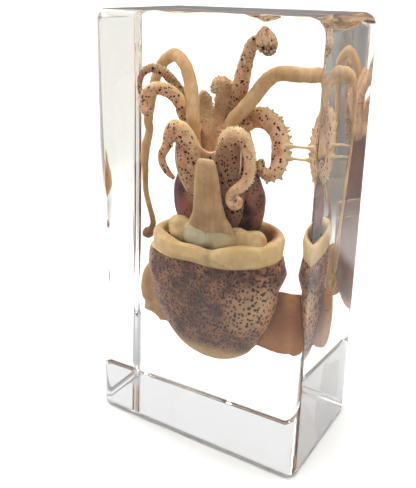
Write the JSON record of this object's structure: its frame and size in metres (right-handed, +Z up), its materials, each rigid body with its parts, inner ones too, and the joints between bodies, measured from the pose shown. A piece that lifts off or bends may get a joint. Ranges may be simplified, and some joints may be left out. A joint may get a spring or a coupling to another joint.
{
  "type": "squid in acrylic block",
  "caption": "Small squid specimen sealed upright in a clear rectangular acrylic block with rounded edges, standing on its narrow base.",
  "frame": {"origin": "middle of the block's bottom face", "axes": "+Z up along the block's height, the wide front face looks along -Y, +X to the right of a viewer facing the front"},
  "size_m": [0.04, 0.025, 0.073],
  "materials": {
    "clear_acrylic": "polished, clear",
    "spotted_skin": "satin, spotted",
    "cream_flesh": "satin",
    "head_skin": "satin",
    "arm_skin": "satin, spotted"
  },
  "bodies": {
    "root": {"block_front": "clear_acrylic", "block_back": "clear_acrylic", "mantle": "spotted_skin", "head": "head_skin", "fin_left": "cream_flesh", "fin_right": "cream_flesh", "funnel": "cream_flesh", "tentacle_left": "cream_flesh", "tentacle_right": "cream_flesh", "arm_ventral_left": "arm_skin", "arm_ventral_right": "arm_skin", "arm_side_left": "arm_skin", "arm_side_right": "arm_skin", "arm_upper_left": "arm_skin", "arm_upper_right": "arm_skin", "arm_dorsal_left": "arm_skin", "arm_dorsal_right": "arm_skin"}
  },
  "joints": []
}
